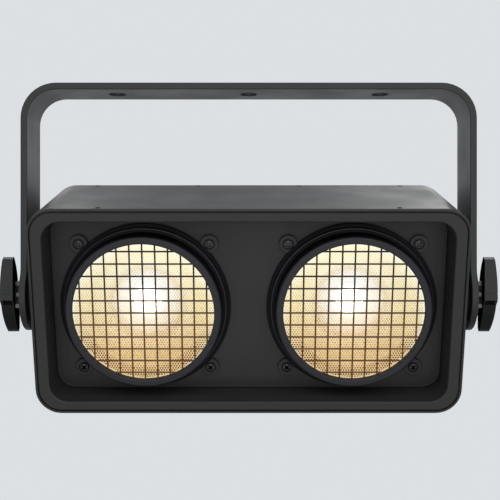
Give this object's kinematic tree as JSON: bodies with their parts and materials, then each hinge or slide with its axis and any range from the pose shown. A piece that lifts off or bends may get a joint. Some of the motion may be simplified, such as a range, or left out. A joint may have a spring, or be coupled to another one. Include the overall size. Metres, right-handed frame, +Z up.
{
  "type": "audience blinder light",
  "caption": "Wide stage blinder light with round guarded lamps in a recessed front, held by a flat strip yoke with two-winged clamp knobs.",
  "frame": {"origin": "middle of the top face of the yoke's bar, on the axis of its middle clamp bolt hole", "axes": "+X along the tilt axis to the right as seen from in front, +Y to the back, away from the lit side, +Z up along the clamp bolt"},
  "size_m": [0.4442, 0.1773, 0.2904],
  "materials": {
    "black_paint": "fine satin black powder coat on steel strip",
    "coated_sheet": "fine satin black powder coat on aluminium sheet",
    "dark_cast": "satin dark grey paint on an aluminium casting",
    "black_wire": "satin black coat on steel wire",
    "black_rubber": "matte",
    "warm_glass": "clear with a fine honeycomb texture",
    "warm_mirror": "bright, warm by the lamp's light",
    "white_plastic": "matte",
    "led_yellow": "phosphor under silicone",
    "black_aluminium": "black anodised",
    "bare_aluminium": "brushed",
    "black_screw": "black zinc",
    "bright_steel": "zinc plated",
    "black_plastic": "satin moulded",
    "smoked_window": "smoked acrylic",
    "green_board": "solder resist",
    "zinc": "satin nickel on zinc",
    "blue_plastic": "moulded",
    "grey_plastic": "moulded"
  },
  "bodies": {
    "yoke": {"yoke": "black_paint"},
    "head": {"housing_sleeve": "coated_sheet", "front_frame": "coated_sheet", "front_panel": "coated_sheet", "rear_panel": "coated_sheet", "control_plate": "coated_sheet", "power_supply": "bare_aluminium", "trim_ring_left": "dark_cast", "wire_guard_left": "black_wire", "lens_seal_left": "black_rubber", "lens_glass_left": "warm_glass", "lamp_can_left": "dark_cast", "reflector_left": "warm_mirror", "led_holder_left": "white_plastic", "cob_led_left": "led_yellow", "heat_sink_left": "black_aluminium", "lamp_screw_left_1": "black_screw", "lamp_screw_left_2": "black_screw", "lamp_screw_left_3": "black_screw", "lamp_screw_left_4": "black_screw", "pivot_boss_left": "bright_steel", "friction_disc_left": "black_rubber", "trim_ring_right": "dark_cast", "wire_guard_right": "black_wire", "lens_seal_right": "black_rubber", "lens_glass_right": "warm_glass", "lamp_can_right": "dark_cast", "reflector_right": "warm_mirror", "led_holder_right": "white_plastic", "cob_led_right": "led_yellow", "heat_sink_right": "black_aluminium", "lamp_screw_right_1": "black_screw", "lamp_screw_right_2": "black_screw", "lamp_screw_right_3": "black_screw", "lamp_screw_right_4": "black_screw", "pivot_boss_right": "bright_steel", "friction_disc_right": "black_rubber", "display_window": "smoked_window", "display_module": "black_plastic", "control_board": "green_board", "data_in_socket": "zinc", "data_out_socket": "zinc", "data_in_insert": "black_plastic", "data_out_insert": "black_plastic", "power_in_socket": "blue_plastic", "power_out_socket": "grey_plastic", "safety_eye": "bright_steel"},
    "washer_left": {"knob_washer_left": "bright_steel"},
    "knob_left": {"knob_left": "black_plastic", "knob_stud_left": "bright_steel"},
    "washer_right": {"knob_washer_right": "bright_steel"},
    "knob_right": {"knob_right": "black_plastic", "knob_stud_right": "bright_steel"},
    "button_1": {"menu_button_1": "black_plastic"},
    "button_2": {"menu_button_2": "black_plastic"},
    "button_3": {"menu_button_3": "black_plastic"},
    "button_4": {"menu_button_4": "black_plastic"},
    "latch": {"data_out_latch": "bright_steel"}
  },
  "joints": [
    {"name": "head_tilt", "type": "hinge", "parent": "yoke", "child": "head", "pos_m": [0, 0, -0.1866], "axis": [1, 0, 0], "range_deg": [-104.6, 75.4]},
    {"name": "washer_left_slide", "type": "slide", "parent": "head", "child": "washer_left", "axis": [-1, 0, 0], "range_m": [0, 0.003]},
    {"name": "knob_left_turn", "type": "hinge", "parent": "washer_left", "child": "knob_left", "pos_m": [-0.21, 0, -0.1866], "axis": [-1, 0, 0], "range_deg": [0, 720]},
    {"name": "washer_right_slide", "type": "slide", "parent": "head", "child": "washer_right", "axis": [1, 0, 0], "range_m": [0, 0.003]},
    {"name": "knob_right_turn", "type": "hinge", "parent": "washer_right", "child": "knob_right", "pos_m": [0.21, 0, -0.1866], "axis": [1, 0, 0], "range_deg": [0, 720]},
    {"name": "button_1_press", "type": "slide", "parent": "head", "child": "button_1", "axis": [0, -0.9677, -0.2521], "range_m": [0, 0.0008], "stiffness_N_per_m": 500},
    {"name": "button_2_press", "type": "slide", "parent": "head", "child": "button_2", "axis": [0, -0.9677, -0.2521], "range_m": [0, 0.0008], "stiffness_N_per_m": 500},
    {"name": "button_3_press", "type": "slide", "parent": "head", "child": "button_3", "axis": [0, -0.9677, -0.2521], "range_m": [0, 0.0008], "stiffness_N_per_m": 500},
    {"name": "button_4_press", "type": "slide", "parent": "head", "child": "button_4", "axis": [0, -0.9677, -0.2521], "range_m": [0, 0.0008], "stiffness_N_per_m": 500},
    {"name": "latch_press", "type": "slide", "parent": "head", "child": "latch", "axis": [0, -0.9677, -0.2521], "range_m": [0, 0.0015], "stiffness_N_per_m": 500}
  ],
  "couplings": [
    {"joint": "washer_left_slide", "follows": "knob_left_turn", "m_per_rad": 0.00023873},
    {"joint": "washer_right_slide", "follows": "knob_right_turn", "m_per_rad": 0.00023873}
  ]
}
